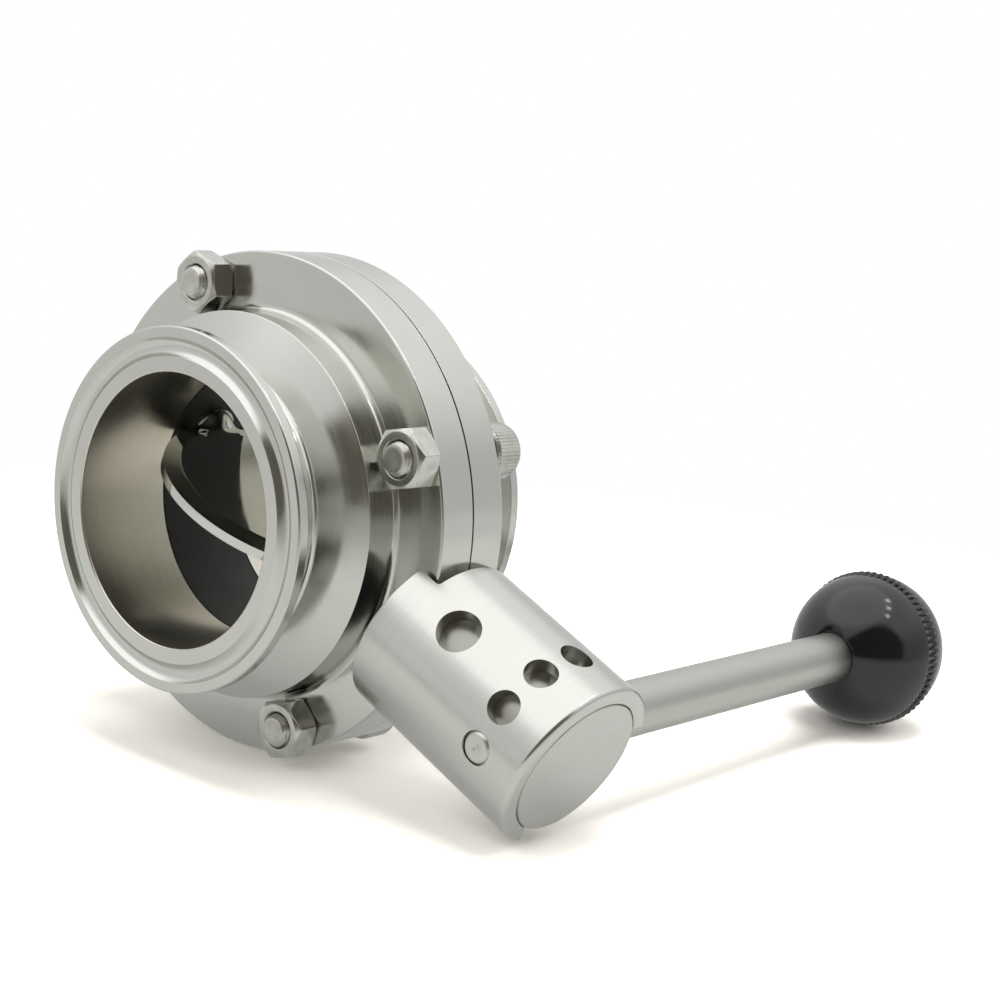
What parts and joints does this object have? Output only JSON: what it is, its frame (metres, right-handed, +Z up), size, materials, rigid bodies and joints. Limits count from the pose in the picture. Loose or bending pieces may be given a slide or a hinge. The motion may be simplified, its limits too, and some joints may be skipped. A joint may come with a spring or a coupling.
{
  "type": "sanitary butterfly valve",
  "caption": "Sanitary butterfly valve with clamp ends, open disc and an indexed pull handle with a ball knob.",
  "frame": {"origin": "crossing of the pipe axis and the stem axis, on the split between the body halves", "axes": "+X along the pipe from the front ferrule to the rear one, +Z up as the valve lies on a flat surface on its flange rim and the rim of its index sleeve"},
  "size_m": [0.1526, 0.1247, 0.0904],
  "materials": {
    "polished_steel": "polished",
    "disc_steel": "polished",
    "satin_steel": "satin",
    "core_steel": "satin",
    "rod_steel": "satin",
    "pin_steel": "turned",
    "spring_steel": "drawn wire",
    "screw_steel": "bright",
    "nut_steel": "bright",
    "seat_rubber": "matte",
    "bush_plastic": "machined",
    "knob_plastic": "glossy",
    "insert_brass": "turned"
  },
  "bodies": {
    "root": {"front_body": "polished_steel", "rear_body": "polished_steel", "seat_ring": "seat_rubber", "upper_bush": "bush_plastic", "lower_bush": "bush_plastic", "index_sleeve": "satin_steel", "clamp_screws": "screw_steel", "clamp_nuts": "nut_steel"},
    "handle": {"valve_disc": "disc_steel", "handle_core": "core_steel", "stem_set_screw": "screw_steel", "pull_spring": "spring_steel", "spring_guide": "screw_steel"},
    "rod": {"pull_rod": "rod_steel", "index_pin": "pin_steel", "ball_knob": "knob_plastic", "knob_insert": "insert_brass"}
  },
  "joints": [
    {"name": "handle_turn", "type": "hinge", "parent": "root", "child": "handle", "pos_m": [0, 0, 0], "axis": [0, 0.9198, 0.3923], "range_deg": [0, 90], "deforming": ["index_pin"]},
    {"name": "rod_pull", "type": "slide", "parent": "handle", "child": "rod", "axis": [1, 0, 0], "range_m": [0, 0.0045], "stiffness_N_per_m": 2500, "springref_m": -0.004, "deforming": ["pull_spring"]}
  ]
}
